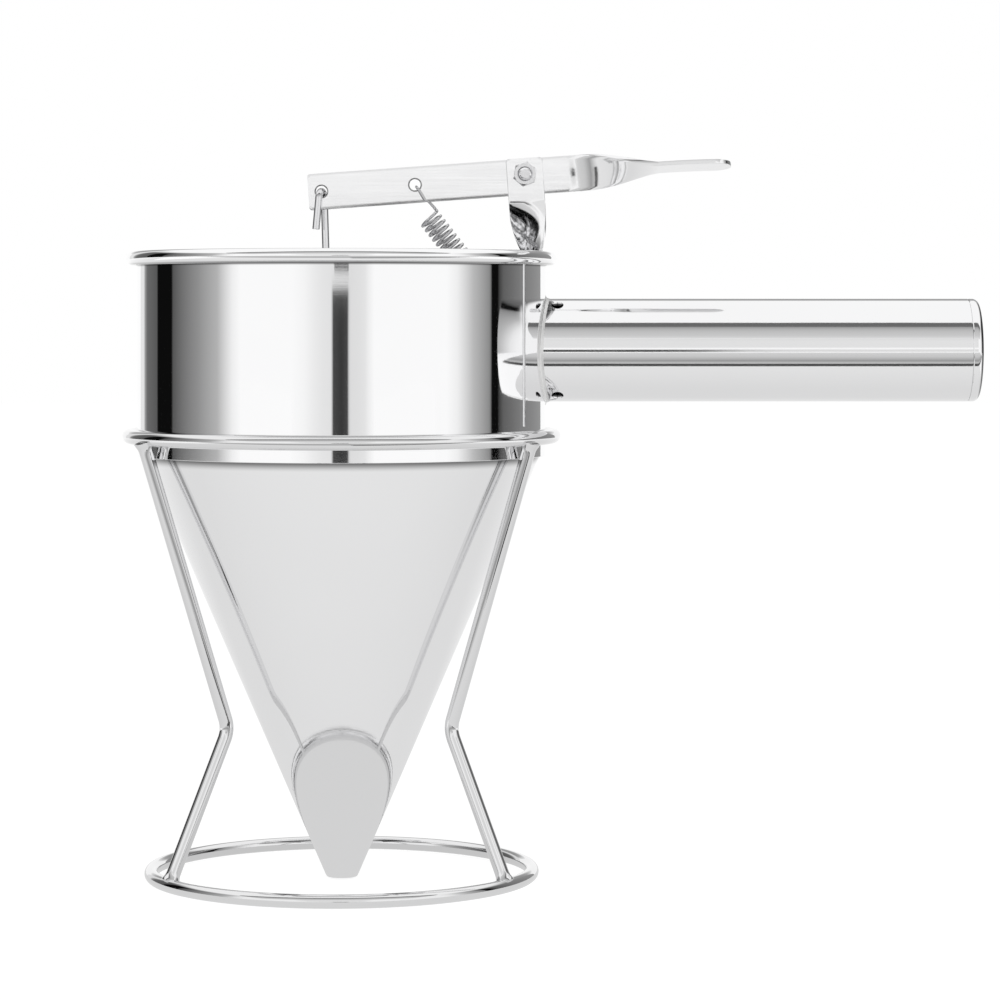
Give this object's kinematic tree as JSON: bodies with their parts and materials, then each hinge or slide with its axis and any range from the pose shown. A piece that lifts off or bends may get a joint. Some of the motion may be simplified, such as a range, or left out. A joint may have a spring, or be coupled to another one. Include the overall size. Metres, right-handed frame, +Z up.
{
  "type": "batter dispenser",
  "caption": "Cone-bottomed funnel dispenser with a side handle and a sprung thumb lever that lifts a stopper, standing in a bent wire stand.",
  "frame": {"origin": "centre of the stand's base ring, on the table that it stands on", "axes": "+Z up along the funnel's axis, +X towards the handle, -Y towards the pictured side"},
  "size_m": [0.2786, 0.1436, 0.235],
  "materials": {
    "polished_sheet": "mirror-polished stainless sheet",
    "polished_tube": "mirror-polished stainless tube",
    "strip_steel": "satin-polished stainless strip",
    "bolt_steel": "plain stainless fastener",
    "spring_wire": "drawn stainless spring wire",
    "rod_wire": "polished stainless wire",
    "turned_steel": "turned stainless",
    "stand_wire": "electropolished stainless wire"
  },
  "bodies": {
    "stand": {"stand_top_ring": "stand_wire", "stand_base_ring": "stand_wire", "stand_leg_left": "stand_wire", "stand_leg_right": "stand_wire", "stand_leg_back": "stand_wire"},
    "funnel": {"cup_wall": "polished_sheet", "cone": "polished_sheet", "handle_tube": "polished_tube", "handle_cap": "polished_tube", "pivot_post": "strip_steel", "pivot_bolt": "bolt_steel", "pivot_nut": "bolt_steel", "pivot_washer": "bolt_steel", "return_spring": "spring_wire"},
    "lever": {"lever": "strip_steel"},
    "rod": {"pull_rod": "rod_wire", "stopper": "turned_steel"}
  },
  "joints": [
    {"name": "funnel_lift", "type": "slide", "parent": "stand", "child": "funnel", "axis": [0, 0, 1], "range_m": [0, 0.16]},
    {"name": "lever_press", "type": "hinge", "parent": "funnel", "child": "lever", "pos_m": [0.05943, -0.00235, 0.2284], "axis": [0, 1, 0], "range_deg": [0, 20], "stiffness_Nm_per_rad": 0.3, "springref_deg": -20.05, "deforming": ["return_spring"]},
    {"name": "rod_swing", "type": "hinge", "parent": "lever", "child": "rod", "pos_m": [-0.00654, -0.00235, 0.22282], "axis": [0, 1, 0], "range_deg": [-20, 0]}
  ],
  "couplings": [
    {"joint": "rod_swing", "follows": "lever_press", "ratio": -1}
  ]
}
